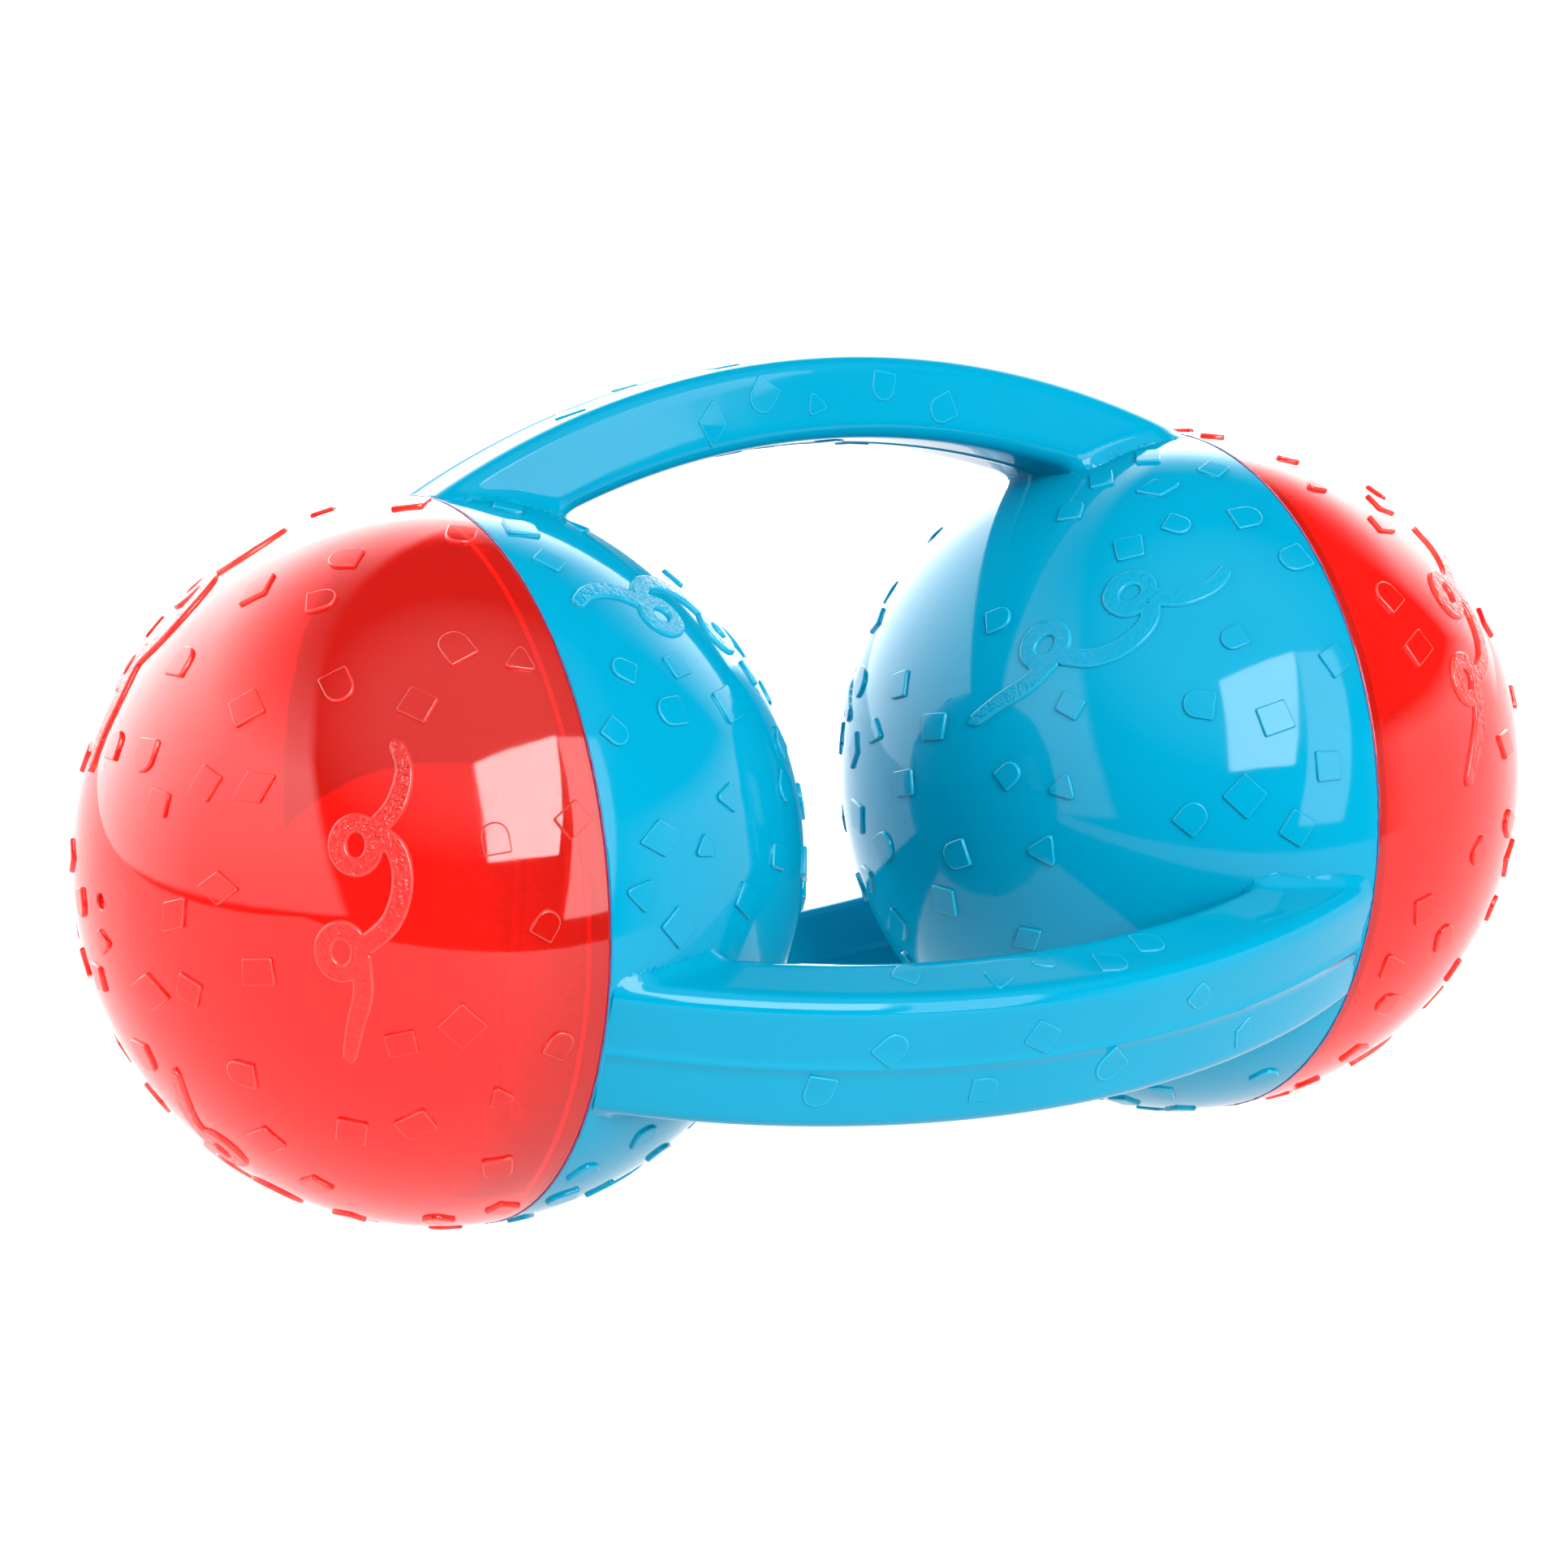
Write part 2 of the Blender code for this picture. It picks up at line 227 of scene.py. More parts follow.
# ---------------------------------------------------------------- mesh helpers
def make_object(name, vertices, faces, *materials, indices=None):
    mesh = bpy.data.meshes.new(name)
    mesh.from_pydata([tuple(v) for v in vertices], [], faces)
    for material in materials:
        mesh.materials.append(material)
    if indices:
        mesh.polygons.foreach_set("material_index", indices)
    mesh.validate()
    mesh.update()
    mesh.shade_smooth()
    obj = bpy.data.objects.new(name, mesh)
    bpy.context.scene.collection.objects.link(obj)
    return obj


def joined(name, objects):
    """One object from several, which need not touch. Material slots are taken to be the same."""
    vertices, faces, indices = [], [], []
    for obj in objects:
        base = len(vertices)
        vertices += [v.co.copy() for v in obj.data.vertices]
        faces += [[base + i for i in p.vertices] for p in obj.data.polygons]
        indices += [p.material_index for p in obj.data.polygons]
    materials = list(objects[0].data.materials)
    for obj in objects:
        bpy.data.objects.remove(obj)
    return make_object(name, vertices, faces, *materials, indices=indices)


def boolean(base, other, operation):
    """base becomes base combined with other, and other is removed."""
    change = base.modifiers.new("combine", "BOOLEAN")
    change.operation = operation
    change.solver = "MANIFOLD"
    change.object = other
    graph = bpy.context.evaluated_depsgraph_get()
    mesh = bpy.data.meshes.new_from_object(base.evaluated_get(graph))
    base.modifiers.clear()
    base.data = mesh
    bpy.data.objects.remove(other)


def skin(rings, closed_along):
    """Faces over equal rings of points, each ring closed. Ends are filled unless closed_along."""
    count, size = len(rings), len(rings[0])
    vertices = [point for ring in rings for point in ring]
    faces = []
    for row in range(count if closed_along else count - 1):
        low, high = row * size, (row + 1) % count * size
        for i in range(size):
            j = (i + 1) % size
            faces.append((low + i, low + j, high + j, high + i))
    if not closed_along:
        faces.append(tuple(reversed(range(size))))
        faces.append(tuple(range((count - 1) * size, count * size)))
    return vertices, faces


def turned(profile, centre, pole, on_axis):
    """Turns (r, x) points about X. x is counted along pole (1 or -1) from centre, from the outside in."""
    vertices, rows = [], []
    for r, x in profile:
        where = centre + ALONG * pole * x
        if on_axis and r == 0.0:
            rows.append([len(vertices)])
            vertices.append(where)
            continue
        row = []
        for i in range(SEGMENTS):
            turn = 2 * math.pi * i / SEGMENTS
            row.append(len(vertices))
            vertices.append(where + Vector((0.0, r * math.cos(turn), r * math.sin(turn))))
        rows.append(row)
    faces = []
    pairs = list(zip(rows, rows[1:]))
    if not on_axis:
        pairs.append((rows[-1], rows[0]))
    for upper, lower in pairs:
        for i in range(SEGMENTS):
            j = (i + 1) % SEGMENTS
            face = [upper[i % len(upper)], lower[i % len(lower)],
                    lower[j % len(lower)], upper[j % len(upper)]]
            face = list(dict.fromkeys(face))
            faces.append(face if pole > 0 else face[::-1])
    return vertices, faces


def arc(radius, start, end, steps):
    angles = [start + (end - start) * i / steps for i in range(steps + 1)]
    return [(radius * math.sin(a), radius * math.cos(a)) for a in angles]


# ---------------------------------------------------------------- places on the surface
def on_ball(centre, pole, polar, around, heading=0.0):
    """A map (u, v, height) -> point near a ball's surface.

    polar is measured from the pole, and around from the top towards -Y. heading turns u, which at 0 runs
    away from the pole, anticlockwise as seen from outside.
    """
    polar, around, heading = (math.radians(a) for a in (polar, around, heading))
    ring = Vector((0.0, -math.sin(around), math.cos(around)))
    out = ALONG * pole * math.cos(polar) + ring * math.sin(polar)
    away = ring * math.cos(polar) - ALONG * pole * math.sin(polar)
    u_axis = away * math.cos(heading) + out.cross(away) * math.sin(heading)
    v_axis = out.cross(u_axis)

    def place(u, v, height):
        reach = math.hypot(u, v)
        if reach < 1e-9:
            return centre + out * (BALL_RADIUS + height)
        angle = reach / BALL_RADIUS
        sideways = (u_axis * u + v_axis * v) / reach
        return centre + (out * math.cos(angle) + sideways * math.sin(angle)) * (BALL_RADIUS + height)

    return place


def handle_axes(name):
    out = HANDLE_OUT[name]
    return out, out.cross(ALONG).normalized()


def on_handle(name, face, distance, across, heading):
    """The same map on a handle: face is outer, inner, or the side 1 or -1. distance runs along the arc."""
    out, wide = handle_axes(name)
    turn_by = math.radians(heading)

    def place(u, v, height):
        along = u * math.cos(turn_by) - v * math.sin(turn_by)
        side = u * math.sin(turn_by) + v * math.cos(turn_by)
        if face in (1, -1):
            radius = ARC_RADIUS - HANDLE_THICKNESS / 2 + across + side
            offset = face * (HANDLE_WIDTH / 2 + height)
        else:
            offset = across + side
            crown = HANDLE_CROWN * (2 * offset / HANDLE_WIDTH) ** 2
            radius = ARC_RADIUS + height - crown if face == "outer" else (
                ARC_RADIUS - HANDLE_THICKNESS - height + crown)
        angle = (distance + along) / ARC_RADIUS
        return (AXIS + ALONG * radius * math.sin(angle) + out * (radius * math.cos(angle) - ARC_DEPTH)
                + wide * offset)

    return place


def is_mirrored(place):
    start = place(0, 0, 0)
    u, v, height = place(MM, 0, 0) - start, place(0, MM, 0) - start, place(0, 0, MM) - start
    return u.cross(v).dot(height) < 0


# ---------------------------------------------------------------- raised pattern
def rounded(corners, radii, steps=4):
    """An outline through corners, each rounded by its own radius, counter-clockwise."""
    outline = []
    count = len(corners)
    for i, (corner, radius) in enumerate(zip(corners, radii)):
        here = Vector(corner)
        before = (Vector(corners[i - 1]) - here).normalized()
        after = (Vector(corners[(i + 1) % count]) - here).normalized()
        half = before.angle(after) / 2
        reach = radius / math.tan(half)
        middle = here + (before + after).normalized() * radius / math.sin(half)
        start = here + before * reach - middle
        end = here + after * reach - middle
        sweep = start.angle_signed(end)
        for step in range(steps + 1):
            turned_by = Matrix.Rotation(-sweep * step / steps, 2)
            outline.append(middle + turned_by @ start)
    return outline


def confetti_outline(kind, rng):
    """Squares, rhombi, half rounds and drops, 3 to 6 mm across."""
    size = rng.uniform(4.1, 5.3) * MM
    if kind == "square":
        h, w = size / 2, size / 2 * rng.uniform(0.8, 1.0)
        lean = rng.uniform(-0.12, 0.12) * size
        corners = [(-w, -h), (w, -h + lean), (w, h), (-w, h)]
        radii = [0.35 * MM] * 4
    elif kind == "rhombus":
        size *= rng.uniform(1.1, 1.45)
        corners = [(-size * 0.62, 0), (0, -size * 0.42), (size * 0.62, 0), (0, size * 0.42)]
        radii = [0.3 * MM] * 4
    elif kind == "half_round":
        h, w = size * 0.45, size * 0.5
        corners = [(-w, -h), (w, -h), (w, h), (-w, h)]
        radii = [0.3 * MM, h * 0.95, h * 0.95, 0.3 * MM]
    else:
        corners = [(0, -size * 0.62), (size * 0.55, size * 0.35), (-size * 0.55, size * 0.35)]
        radii = [0.7 * MM, 0.6 * MM, 0.6 * MM]
    return rounded(corners, radii)


KINDS = ("square", "square", "rhombus", "half_round", "half_round", "drop")
PAD_EDGE = ((-1.8, 0.0), (0.0, 0.0), (0.55, 0.04), (0.85, 0.13), (1.0, 0.32))


def pad(outline, place, relief):
    """A raised pad: straight sides from below the surface, a soft rounded edge and a flat top.

    PAD_EDGE holds heights in reliefs and insets in millimetres. The upper edge has the third material, whose
    lighter colour is a painted highlight.
    """
    middle = sum(outline, Vector((0.0, 0.0))) / len(outline)
    rings = []
    for height, inset in PAD_EDGE:
        ring = []
        for point in outline:
            arm = point - middle
            shrunk = middle + arm * (1 - inset * MM / arm.length)
            ring.append(place(shrunk.x, shrunk.y, height * relief))
        rings.append(ring)
    vertices, faces = skin(rings, False)
    if is_mirrored(place):
        faces = [face[::-1] for face in faces]
    sides = len(outline)
    # Slot 2, the rounded upper edge, takes the lighter colour that is a painted highlight.
    indices = [0] * (2 * sides) + [2] * (2 * sides) + [0, 0]
    return vertices, faces, indices


BAND_EDGE = ((1.0, -1.8, 0.0), (1.0, 0.0, 0.0), (1.0, 0.7, 0.12), (1.0, 1.0, 0.42), (0.3, 1.0, 0.0))


def band(path, widths, place, closed=False):
    """A raised ribbon along path, with its top in the second material and its edges in the third, whose lighter
    colour is a painted highlight.

    BAND_EDGE holds shares of the half width, heights in reliefs and insets in millimetres.
    """
    right = [(share, height, inset * MM) for share, height, inset in BAND_EDGE]
    profile = right + [(-share, height, -inset) for share, height, inset in reversed(right)]
    count, size = len(path), len(profile)
    top, edges = range(3, size - 4), (1, 2, size - 4, size - 3)
    rings = []
    for i, (point, width) in enumerate(zip(path, widths)):
        before = path[(i - 1) % count] if closed or i else point
        after = path[(i + 1) % count] if closed or i < count - 1 else point
        forward = (after - before).normalized()
        side = Vector((-forward.y, forward.x))
        ring = []
        for share, height, inset in profile:
            reach = share * width / 2
            if abs(inset) < abs(reach):
                reach -= inset
            at = point + side * reach
            ring.append(place(at.x, at.y, height * RELIEF))
        rings.append(ring)
    vertices, faces = skin(rings, closed)
    # Slot 2, on the ribbon's edges, takes the lighter colour that is a painted highlight.
    indices = [1 if i % size in top else 2 if i % size in edges else 0
               for i in range(len(faces))]
    if not closed:
        indices[-2:] = [0, 0]
    if is_mirrored(place):
        faces = [face[::-1] for face in faces]
    return vertices, faces, indices


def smooth_path(points, spacing):
    """Catmull-Rom curve through the given points, in millimetres, sampled evenly enough."""
    points = [Vector(p) * MM for p in points]
    ends = [2 * points[0] - points[1]] + points + [2 * points[-1] - points[-2]]
    path = []
    for a, b, c, d in zip(ends, ends[1:], ends[2:], ends[3:]):
        steps = max(2, round((c - b).length / spacing))
        for step in range(steps):
            t = step / steps
            path.append(0.5 * (2 * b + (c - a) * t + (2 * a - 5 * b + 4 * c - d) * t ** 2
                               + (3 * b - a - 3 * c + d) * t ** 3))
    path.append(points[-1])
    return path


RIBBON_WIDTH = 3.2 * MM
RIBBON_STROKES = (
    [(-23.0, 4.2), (-18.5, 5.6), (-13.5, 4.2), (-9.8, 0.8)],
    [(-10.0, 1.0), (-7.0, 4.1), (-2.0, 4.6), (3.0, 2.6), (6.4, -1.6)],
    [(7.2, -2.2), (13.0, -2.4), (18.5, -4.4), (24.0, -6.2)],
)
RIBBON_CURLS = ((-8.4, -2.0), (6.6, -5.2))
CURL_RADIUS = 2.9 * MM
CURL_STEPS = 26


def ribbon_strokes(place):
    """The three strokes. The first starts and the last ends in a rounded, narrower tip."""
    made = []
    for index, points in enumerate(RIBBON_STROKES):
        path = smooth_path(points, 0.8 * MM)
        if index == 0:
            path.reverse()
        widths = []
        for i, point in enumerate(path):
            from_tip = sum((b - a).length for a, b in zip(path[i:], path[i + 1:]))
            width = RIBBON_WIDTH
            if index != 1:
                width *= 0.72 + 0.28 * min(1.0, from_tip / (9 * MM))
                tip = max(0.0, 1 - from_tip / (width / 2))
                width *= max(0.15, math.sqrt(1 - tip ** 2))
            widths.append(width)
        made.append(band(path, widths, place))
    return made


def ribbon_curls(place):
    """The two curls where the ribbon loops over itself, each with a small drop-shaped eye."""
    made = []
    for x, y in RIBBON_CURLS:
        path = []
        for i in range(CURL_STEPS):
            turn = 2 * math.pi * i / CURL_STEPS
            radius = CURL_RADIUS * (1 + 0.14 * math.cos(turn - 0.9))
            path.append(Vector((x * MM + radius * 1.08 * math.cos(turn),
                                y * MM + radius * 0.92 * math.sin(turn))))
        made.append(band(path, [RIBBON_WIDTH * 0.9] * len(path), place, closed=True))
    return made


def relief_object(name, shapes, materials):
    vertices, faces, indices = [], [], []
    for points, polygons, slots in shapes:
        base = len(vertices)
        vertices += points
        faces += [[base + i for i in face] for face in polygons]
        indices += slots
    return make_object(name, vertices, faces, *materials, indices=indices)


# Each ribbon's place on its half ball: polar, around and heading, in degrees.
CAP_RIBBONS = {"left": ((54, 82, -90), (46, -18, 180), (58, -112, -90), (50, 178, 170)),
               "right": ((60, 58, 90), (46, -30, 180), (58, -112, 90), (50, 158, 170))}
CUP_RIBBONS = {"left": ((60, 32, -156), (50, 170, 160), (50, -70, 200)),
               "right": ((50, 44, -163), (50, 170, 160), (50, -70, 200))}


RIBBON_MARGIN = 5.6 * MM
CURL_MARGIN = 8.2 * MM


def near_ribbon(point, ribbons):
    """Whether a point on the ball is close to any ribbon's length."""
    for place in ribbons:
        for points in RIBBON_STROKES:
            for x, y in points:
                if (place(x * MM, y * MM, 0.0) - point).length < RIBBON_MARGIN:
                    return True
        for x, y in RIBBON_CURLS:
            if (place(x * MM, y * MM, 0.0) - point).length < CURL_MARGIN:
                return True
    return False


def near_handle(direction):
    """Whether a direction from a ball's centre meets a handle's root."""
    for name in HANDLES:
        out, wide = handle_axes(name)
        across = abs(direction.dot(wide)) * BALL_RADIUS
        if direction.dot(out) > 0.55 and across < HANDLE_WIDTH / 2 + ROOT_FILLET + 2.6 * MM:
            return True
    return False


CONFETTI_COUNT = 78
CONFETTI_TRIES = 5000
CONFETTI_SPACING = 8.4 * MM
LOWEST_COS, HIGHEST_COS = math.cos(math.radians(86)), math.cos(math.radians(5))


def scatter_confetti(centre, pole, ribbons, beside_handles, seed):
    """Confetti over one half ball, kept apart from each other, the ribbons, the vent and the handles."""
    rng = random.Random(seed)
    taken, shapes = [], []
    for _ in range(CONFETTI_TRIES):
        if len(taken) >= CONFETTI_COUNT:
            break
        polar = math.degrees(math.acos(rng.uniform(LOWEST_COS, HIGHEST_COS)))
        around = rng.uniform(-180, 180)
        place = on_ball(centre, pole, polar, around, rng.uniform(0, 360))
        point = place(0, 0, 0)
        if any((point - other).length < CONFETTI_SPACING for other in taken):
            continue
        if near_ribbon(point, ribbons):
            continue
        if beside_handles and near_handle((point - centre).normalized()):
            continue
        taken.append(point)
        shapes.append(pad(confetti_outline(rng.choice(KINDS), rng), place, RELIEF))
    return shapes


HANDLE_ROWS = (("outer", 7, 5.2, 46), ("inner", 4, 4.4, 20), (1, 5, 1.5, 27), (-1, 5, 1.5, 27))
HANDLE_RELIEF = RELIEF * 0.5


def handle_confetti(name, seed):
    """Fainter confetti along a handle. HANDLE_ROWS: face, count, and spread and reach in millimetres."""
    rng = random.Random(seed)
    shapes = []
    for face, count, spread, reach in HANDLE_ROWS:
        for i in range(count):
            distance = reach * MM * (2 * (i + rng.uniform(0.3, 0.7)) / count - 1)
            across = spread * MM * (1 if i % 2 else -1) * rng.uniform(0.7, 1.05)
            place = on_handle(name, face, distance, across, rng.uniform(0, 360))
            shapes.append(pad(confetti_outline(rng.choice(KINDS), rng), place, HANDLE_RELIEF))
    return shapes


def add_pattern(obj, shapes, ribbons, materials):
    """Raises confetti and ribbons out of obj."""
    strokes = [shape for place in ribbons for shape in ribbon_strokes(place)]
    curls = [shape for place in ribbons for shape in ribbon_curls(place)]
    boolean(obj, relief_object("raised_flat", shapes + strokes, materials), "UNION")
    boolean(obj, relief_object("raised_curls", curls, materials), "UNION")


# ---------------------------------------------------------------- normals
NEAR_SURFACE = 0.15 * MM
NEAR_RELIEF = RELIEF + 0.1 * MM
NEARLY_RADIAL = 0.985
ON_HANDLE = 0.93


def level_ends(smooth, size):
    """Gives each handle's first and last section the normals of its neighbour, which has no end face."""
    total = (HANDLE_STEPS + 1) * size
    for start in range(0, len(smooth), total):
        for end, neighbour in ((0, size), (total - size, total - 2 * size)):
            for i in range(size):
                smooth[start + end + i] = smooth[start + neighbour + i]


def column(items, field, width=1, kind=np.float64):
    """One field of many mesh elements, as an array."""
    values = np.empty(len(items) * width, dtype=kind)
    items.foreach_get(field, values)
    return values if width == 1 else values.reshape(-1, width)


def clean_normal(source, smooth, spot, face):
    """The smooth normal at a spot on one of source's faces, from that face's corners."""
    weights, total = Vector((0.0, 0.0, 0.0)), 0.0
    for index in source.data.polygons[face].vertices:
        weight = 1 / max((source.data.vertices[index].co - spot).length, 1e-7)
        weights += smooth[index] * weight
        total += weight
    return (weights / total).normalized()


def set_normals(obj, source=None):
    """Gives ball faces and pad tops the ball's own normals, and handle faces those of the clean handle."""
    mesh = obj.data
    corner = column(mesh.loops, "vertex_index", kind=np.int64)
    points = column(mesh.vertices, "co", 3)[corner]
    rounded_off = column(mesh.vertices, "normal", 3)[corner]
    totals = column(mesh.polygons, "loop_total", kind=np.int64)
    faces = np.repeat(column(mesh.polygons, "normal", 3), totals, axis=0)
    normals = faces.copy()
    done = np.zeros(len(corner), dtype=bool)
    for centre in CENTRES.values():
        arm = points - np.array(centre)
        reach = np.linalg.norm(arm, axis=1)
        radial = arm / np.maximum(reach, 1e-9)[:, None]
        facing = (radial * faces).sum(axis=1)
        outside = (reach > BALL_RADIUS - NEAR_SURFACE) & (reach < BALL_RADIUS + NEAR_RELIEF)
        inside = (reach > BALL_RADIUS - WALL - NEAR_SURFACE) & (reach < BALL_RADIUS - WALL + NEAR_SURFACE)
        outer = outside & (facing > NEARLY_RADIAL)
        inner = inside & (facing < -NEARLY_RADIAL)
        normals[outer] = radial[outer]
        normals[inner] = -radial[inner]
        soft = outside & ~outer & (facing > -0.2)
        normals[soft] = rounded_off[soft]
        done |= outer | inner
    if source:
        tree = BVHTree.FromPolygons([v.co for v in source.data.vertices],
                                    [p.vertices for p in source.data.polygons])
        smooth = [v.normal.copy() for v in source.data.vertices]
        level_ends(smooth, len(handle_outline()))
        for i in np.flatnonzero(~done):
            spot, _, face, distance = tree.find_nearest(Vector(points[i]), NEAR_RELIEF)
            if spot is None:
                continue
            clean = clean_normal(source, smooth, spot, face)
            if clean.dot(Vector(faces[i])) > ON_HANDLE:
                normals[i] = clean
            elif distance < RELIEF:
                normals[i] = rounded_off[i]
    mesh.shade_smooth()
    mesh.normals_split_custom_set(normals.tolist())


# ---------------------------------------------------------------- clear caps
def half_ball_outside(start):
    """The outside from an angle at the pole down to the seam, where it ends in a small chamfer."""
    outside = arc(BALL_RADIUS, start, math.pi / 2, QUARTER_STEPS)
    return outside[:-1] + [(BALL_RADIUS, SEAM_GAP + 0.25 * MM), (BALL_RADIUS - 0.05 * MM, SEAM_GAP)]


def cap_profile():
    """Down the outside from the vent, over the lap joint, and up the inside to the squeaker's collar."""
    inner = BALL_RADIUS - WALL
    rim = 0.25 * MM
    start = math.asin((VENT_RADIUS + rim) / BALL_RADIUS)
    lip = BALL_RADIUS - WALL / 2 + LAP_GAP
    lap_top = LAP_LENGTH + 2 * LAP_GAP
    inside = arc(inner, math.acos(lap_top / inner), math.asin(COLLAR_OUTER / inner), QUARTER_STEPS)
    seat = inner - SEAT_DEPTH
    return [(VENT_RADIUS, BALL_RADIUS - rim)] + half_ball_outside(start) + [
        (lip, SEAM_GAP), (lip, lap_top)] + inside + [
        (COLLAR_OUTER, seat - COLLAR_HEIGHT + 0.3 * MM), (COLLAR_OUTER - 0.3 * MM, seat - COLLAR_HEIGHT),
        (COLLAR_INNER, seat - COLLAR_HEIGHT), (COLLAR_INNER, seat), (VENT_RADIUS, seat)]


def build_cap(name, side, seed):
    centre = CENTRES[name]
    materials = (MATERIALS["red"], MATERIALS["red_stipple"], MATERIALS["red_painted_highlight"])
    vertices, faces = turned(cap_profile(), centre, side, False)
    cap = make_object(f"{name}_clear_cap", vertices, faces, *materials)
    ribbons = [on_ball(centre, side, *spot) for spot in CAP_RIBBONS[name]]
    shapes = scatter_confetti(centre, side, ribbons, False, seed)
    add_pattern(cap, shapes, ribbons, materials)
    set_normals(cap)
    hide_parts(f"{name}_cap")
    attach(cap, "shell")


# ---------------------------------------------------------------- blue moulding
def cup_profile():
    inner = BALL_RADIUS - WALL
    tongue = inner + WALL / 2 - LAP_GAP
    inside = arc(inner, math.pi / 2, 0.0, QUARTER_STEPS)
    return half_ball_outside(0.0) + [
        (tongue, SEAM_GAP), (tongue, -LAP_LENGTH), (inner, -LAP_LENGTH)] + inside


def handle_outline():
    """The section's outline as (across, height above the middle), with its two parting lines."""
    half_w, half_t = HANDLE_WIDTH / 2, HANDLE_THICKNESS / 2
    corners = [(-half_w, -half_t), (half_w, -half_t), (half_w, half_t), (-half_w, half_t)]
    edge = rounded(corners, [HANDLE_CORNER] * 4, 7)
    quarter = len(edge) // 4
    shares = (0.2, 0.4, 0.6, 0.8)
    outline = []
    for i, point in enumerate(edge):
        outline.append(point)
        if (i + 1) % quarter:
            continue
        face = (i + 1) // quarter
        after = edge[(i + 1) % len(edge)]
        if face in (1, 3):
            middle = (point + after) / 2
            sign = 1 if face == 3 else -1
            foot = Vector((-sign * PARTING_WIDTH / 2, 0.0))
            outline += [point.lerp(middle - foot, share) for share in shares]
            outline += [middle - foot, middle + Vector((0.0, sign * PARTING_HEIGHT)), middle + foot]
            outline += [(middle + foot).lerp(after, share) for share in shares]
        else:
            outline += [point.lerp(after, step / 8) for step in range(1, 8)]
    crowned = []
    for point in outline:
        drop = HANDLE_CROWN * (point.x / half_w) ** 2
        crowned.append(Vector((point.x, point.y - math.copysign(drop, point.y) * abs(point.y) / half_t)))
    return crowned


def outline_normals(outline):
    count = len(outline)
    normals = []
    for i in range(count):
        along = outline[(i + 1) % count] - outline[i - 1]
        normals.append(Vector((along.y, -along.x)).normalized())
    return normals


def build_handle(name):
    """Sections along the arc, each flared where it nears a ball, so that it meets the ball in a fillet."""
    out, wide = handle_axes(name)
    outline = handle_outline()
    normals = outline_normals(outline)
    end = math.asin((HALF_SPACING - 0.4 * MM) / ARC_RADIUS)
    rings = []
    for step in range(HANDLE_STEPS + 1):
        angle = end * (2 * step / HANDLE_STEPS - 1)
        up = out * math.cos(angle) + ALONG * math.sin(angle)
        middle = AXIS + up * (ARC_RADIUS - HANDLE_THICKNESS / 2) - out * ARC_DEPTH
        centre = CENTRES["right" if angle > 0 else "left"]
        ring = []
        for point, normal in zip(outline, normals):
            where = middle + wide * point.x + up * point.y
            facing = wide * normal.x + up * normal.y
            arm = where - centre
            clear = arm.length - BALL_RADIUS
            if clear < ROOT_FILLET:
                left = ROOT_FILLET - max(clear, 0.0)
                flare = ROOT_FILLET - math.sqrt(ROOT_FILLET ** 2 - left ** 2)
                flare *= max(0.0, min(1.0, 1 + clear / ROOT_FADE))
                slope = facing.dot(arm.normalized())
                openness = max(0.0, 1.0 - 1.3 * slope if slope > 0 else 1.0 - slope * slope)
                where = where + facing * flare * openness
            ring.append(where)
        rings.append(ring)
    return skin(rings, False)


def build_moulding():
    materials = (MATERIALS["blue"], MATERIALS["blue_stipple"], MATERIALS["blue_painted_highlight"])
    cups = []
    for name, side in SIDES.items():
        vertices, faces = turned(cup_profile(), CENTRES[name], -side, True)
        cups.append(make_object(f"{name}_cup_form", vertices, faces, *materials))
    moulding = joined("blue_moulding", cups)
    handles = joined("handle_forms", [
        make_object(f"{name}_form", *build_handle(name), *materials) for name in HANDLES])
    clean = handles.copy()
    clean.data = handles.data.copy()
    for name in SIDES:
        profile = arc(BALL_RADIUS - WALL / 3, 0.0, math.pi, 2 * QUARTER_STEPS)
        profile[0] = (0.0, profile[0][1])
        profile[-1] = (0.0, profile[-1][1])
        vertices, faces = turned(profile, CENTRES[name], 1, True)
        boolean(handles, make_object("hollow", vertices, faces), "DIFFERENCE")
    boolean(moulding, handles, "UNION")
    shapes, ribbons = [], []
    for index, (name, side) in enumerate(SIDES.items()):
        spots = [on_ball(CENTRES[name], -side, *spot) for spot in CUP_RIBBONS[name]]
        shapes += scatter_confetti(CENTRES[name], -side, spots, True, 31 + index)
        ribbons += spots
    for index, name in enumerate(HANDLES):
        shapes += handle_confetti(name, 51 + index)
    add_pattern(moulding, shapes, ribbons, materials)
    set_normals(moulding, clean)
    bpy.data.objects.remove(clean)
    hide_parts("left_cup", "right_cup", "top_handle", "front_handle", "back_handle")
    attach(moulding, "shell")


# ---------------------------------------------------------------- bond line
BOND_RADIUS = 0.13 * MM
BOND_STEPS, BOND_SIDES = 420, 6


def build_bond(name, seed):
    """The fine uneven bead of adhesive squeezed out where a cap meets its cup."""
    rng = random.Random(seed)
    rings = []
    for i in range(BOND_STEPS):
        turn = 2 * math.pi * i / BOND_STEPS
        out = Vector((0.0, math.cos(turn), math.sin(turn)))
        size = BOND_RADIUS * rng.uniform(0.7, 1.6)
        middle = CENTRES[name] + out * (BALL_RADIUS - 0.02 * MM) + ALONG * rng.uniform(-0.06, 0.06) * MM
        rings.append([middle + out * size * math.sin(a) + ALONG * size * math.cos(a)
                      for a in (2 * math.pi * j / BOND_SIDES for j in range(BOND_SIDES))])
    bond = make_object(f"{name}_seam_bond", *skin(rings, True), MATERIALS["bond"])
    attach(bond, "shell")


